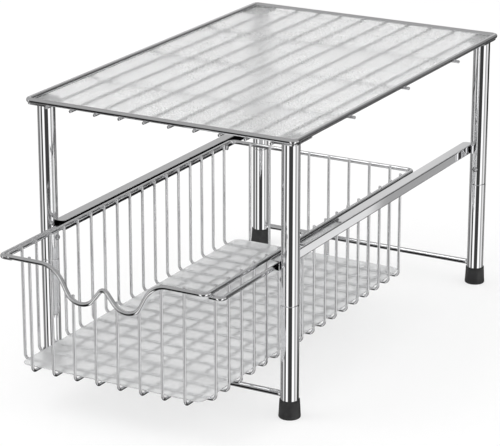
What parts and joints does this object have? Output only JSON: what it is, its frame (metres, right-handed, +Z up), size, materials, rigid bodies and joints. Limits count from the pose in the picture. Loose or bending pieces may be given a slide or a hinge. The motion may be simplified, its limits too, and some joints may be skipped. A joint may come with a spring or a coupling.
{
  "type": "pull out cabinet basket",
  "caption": "Wire shelf on tube legs with side rails, and a wire basket under it that slides out to the front.",
  "frame": {"origin": "on the floor, under the middle of the box around the unit with its basket pulled out as at rest", "axes": "+X to the right, +Y to the back (the basket pulls out to -Y), +Z up"},
  "size_m": [0.2942, 0.5422, 0.2734],
  "materials": {
    "bright_wire": "bright plated wire",
    "basket_wire": "bright plated thin wire",
    "bright_tube": "mirror plated tube",
    "bright_plate": "plated sheet",
    "rail_sheet_metal": "mirror plated channel",
    "screw_steel": "plated screw",
    "inner_steel": "plain",
    "plug_plastic": "moulded",
    "foot_rubber": "matt",
    "frosted_sheet": "frosted",
    "clear_sheet": "translucent"
  },
  "bodies": {
    "stand": {"shelf_rim": "bright_wire", "shelf_depth_wires": "bright_wire", "shelf_cross_wires": "bright_wire", "shelf_sheet": "frosted_sheet", "corner_plate_front_left": "bright_plate", "corner_plate_front_right": "bright_plate", "corner_plate_rear_left": "bright_plate", "corner_plate_rear_right": "bright_plate", "top_plug_front_left": "plug_plastic", "top_plug_front_right": "plug_plastic", "top_plug_rear_left": "plug_plastic", "top_plug_rear_right": "plug_plastic", "upper_leg_front_left": "bright_tube", "upper_leg_front_right": "bright_tube", "upper_leg_rear_left": "bright_tube", "upper_leg_rear_right": "bright_tube", "leg_sleeve_front_left": "inner_steel", "leg_sleeve_front_right": "inner_steel", "leg_sleeve_rear_left": "inner_steel", "leg_sleeve_rear_right": "inner_steel", "lower_leg_front_left": "bright_tube", "lower_leg_front_right": "bright_tube", "lower_leg_rear_left": "bright_tube", "lower_leg_rear_right": "bright_tube", "foot_front_left": "foot_rubber", "foot_front_right": "foot_rubber", "foot_rear_left": "foot_rubber", "foot_rear_right": "foot_rubber", "plate_studs": "inner_steel", "leg_screws": "screw_steel", "front_bar": "bright_wire", "rear_bar": "bright_wire", "rail_left": "rail_sheet_metal", "rail_right": "rail_sheet_metal"},
    "basket": {"basket_rim": "bright_wire", "basket_cross_wires": "basket_wire", "basket_long_wires": "basket_wire", "basket_sheet": "clear_sheet", "runner_left": "bright_wire", "runner_right": "bright_wire"}
  },
  "joints": [
    {"name": "basket_slide", "type": "slide", "parent": "stand", "child": "basket", "axis": [0, -1, 0], "range_m": [-0.097, 0.15]}
  ]
}
